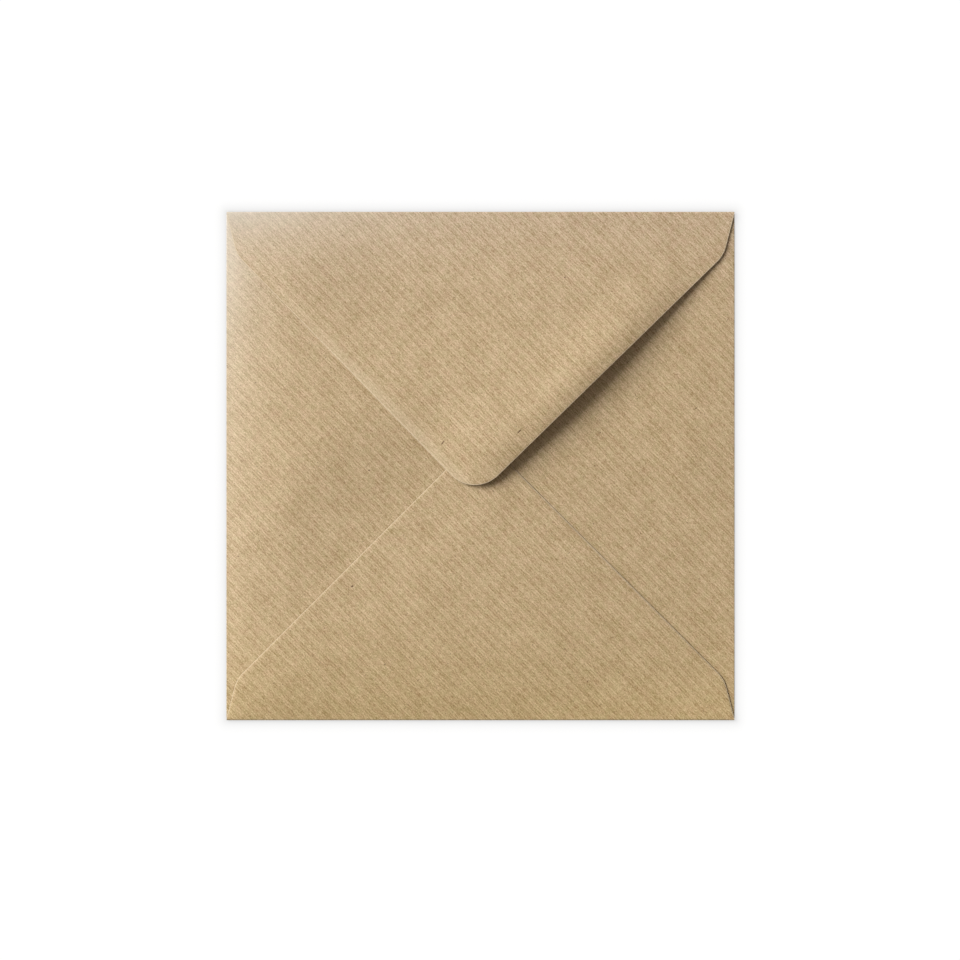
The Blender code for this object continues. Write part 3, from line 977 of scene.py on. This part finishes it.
def dried_gum():
    """Clear glossy gum over kraft, brushed on in faint streaks and blotches."""
    material, nodes = new_material("dried_gum")
    place = nodes.on_sheet()
    blotch = nodes.noise(place, *GUM_BLOTCHES)
    streak = nodes.streaks(place, *GUM_STREAKS)
    tone = nodes.math("MULTIPLY_ADD", blotch, GUM_BLOTCH_TONE, GUM_TONE_LOSS)
    tone = nodes.math("MULTIPLY_ADD", streak, GUM_STREAK_TONE, tone)
    colour = nodes.mix(tone, linear(*GUM_DARK), linear(*GUM_LIGHT))
    nodes.surface(colour, streak, *GUM_RELIEF, nodes.math("MULTIPLY_ADD", blotch, *GUM_ROUGHNESS))
    return material


def dried_glue():
    """Thin off-white glue that has soaked into the paper in patches."""
    material, nodes = new_material("dried_glue")
    patch = nodes.noise(nodes.on_sheet(), *GLUE_PATCHES)
    colour = nodes.mix(patch, linear(*GLUE_DARK), linear(*GLUE_LIGHT))
    nodes.surface(colour, patch, *GLUE_RELIEF, nodes.math("MULTIPLY_ADD", patch, *GLUE_ROUGHNESS))
    return material


def white_floor():
    """Pale floor that the camera sees as white, with the envelope's soft shadow on it, and a painted shadow
    round it.
    """
    material, nodes = new_material("white_floor")
    matt = nodes.add("ShaderNodeBsdfDiffuse", {"Color": FLOOR_COLOUR}).outputs[0]
    # Painted shade in the floor's glow, where the envelope closes it in
    gap = nodes.add("ShaderNodeAmbientOcclusion", {"Distance": HALO_REACH}, samples=HALO_SAMPLES)
    white = nodes.math("MULTIPLY_ADD", gap.outputs["AO"], PAINTED_HALO, FLOOR_WHITE - PAINTED_HALO)
    # Painted shadow, darkest close to the square that the envelope stands on
    position = nodes.add("ShaderNodeNewGeometry").outputs["Position"]
    x, y, _ = nodes.add("ShaderNodeSeparateXYZ", {0: position}).outputs
    out_x, out_y = (
        nodes.math("MAXIMUM", nodes.math("SUBTRACT", nodes.math("ABSOLUTE", side), HALF), 0.0)
        for side in (x, y)
    )
    squares = nodes.math("MULTIPLY_ADD", out_x, out_x, nodes.math("MULTIPLY", out_y, out_y))
    painted_contact_shadow = nodes.fading(nodes.math("SQRT", squares), 1 / CONTACT_REACH)
    white = nodes.math("SUBTRACT", white, nodes.math("MULTIPLY", painted_contact_shadow, PAINTED_CONTACT_SHADOW))
    glow = nodes.add("ShaderNodeEmission", {"Color": (1, 1, 1, 1), "Strength": white}).outputs[0]
    share = nodes.math("MULTIPLY", nodes.seen(), FLOOR_GLOW)
    mixed = nodes.add("ShaderNodeMixShader", {0: share, 1: matt, 2: glow}).outputs[0]
    nodes.add("ShaderNodeOutputMaterial", {"Surface": mixed})
    mesh = bpy.data.meshes.new("floor")
    signs = ((-1, -1), (1, -1), (1, 1), (-1, 1))
    corners = [(x * FLOOR_REACH, y * FLOOR_REACH, FLOOR_LEVEL) for x, y in signs]
    mesh.from_pydata(corners, [], [(0, 1, 2, 3)])
    floor = bpy.data.objects.new("floor", mesh)
    bpy.context.scene.collection.objects.link(floor)
    floor.data.materials.append(material)


def world_fill():
    """Even fill all round, which the camera sees as white."""
    world = bpy.data.worlds.new("studio")
    bpy.context.scene.world = world
    world.use_nodes = True
    nodes = Nodes(world.node_tree)
    seen = nodes.seen()
    inputs = {
        "Color": nodes.mix(seen, FILL_TINT, (1, 1, 1, 1)),
        "Strength": nodes.math("MULTIPLY_ADD", seen, 1 - FILL, FILL),
    }
    nodes.add("ShaderNodeOutputWorld", {"Surface": nodes.add("ShaderNodeBackground", inputs).outputs[0]})


def key_light():
    """The one soft light, from the upper left."""
    light = bpy.data.lights.new("key", "AREA")
    light.shape = "SQUARE"
    light.size = KEY_SIZE
    light.energy = KEY_POWER
    key = bpy.data.objects.new("key", light)
    azimuth, elevation = math.radians(KEY_AZIMUTH), math.radians(KEY_ELEVATION)
    level = Vector((math.cos(azimuth), math.sin(azimuth), 0)) * math.cos(elevation)
    away = level + Vector((0, 0, math.sin(elevation)))
    key.location = away * KEY_DISTANCE
    key.rotation_mode = "QUATERNION"
    key.rotation_quaternion = (-away).to_track_quat("-Z", "Y")
    bpy.context.scene.collection.objects.link(key)


def camera_above():
    """Long lens straight above, as in the photograph."""
    lens = bpy.data.cameras.new("camera")
    lens.sensor_width = SENSOR
    lens.lens = LENS
    camera = bpy.data.objects.new("camera", lens)
    camera.location = AIM + Vector((0, 0, FRAME_WIDTH * LENS / SENSOR))
    bpy.context.scene.collection.objects.link(camera)
    bpy.context.scene.camera = camera


def build():
    """The whole envelope, the floor, the light and the camera."""
    kraft = kraft_paper()
    front_panel(kraft)
    folded_flap("left_side_flap", FROM_LEFT, SIDE_WIDTH, SIDE_REACH, SIDE_TIP_RADIUS, SIDE_ROLL, kraft)
    folded_flap("right_side_flap", FROM_RIGHT, SIDE_WIDTH, SIDE_REACH, SIDE_TIP_RADIUS, SIDE_ROLL, kraft)
    folded_flap("bottom_flap", FROM_BOTTOM, BACK_WIDTH, BOTTOM_REACH, TIP_RADIUS, BACK_ROLL, kraft)
    seal_flap(kraft)
    gum_band(dried_gum())
    glue = dried_glue()
    seam_glue("left_glue_strip", "left_seam_glue", -1, glue)
    seam_glue("right_glue_strip", "right_seam_glue", 1, glue)
    white_floor()
    world_fill()
    key_light()
    camera_above()


build()
bpy.context.scene.view_settings.view_transform = "Standard"
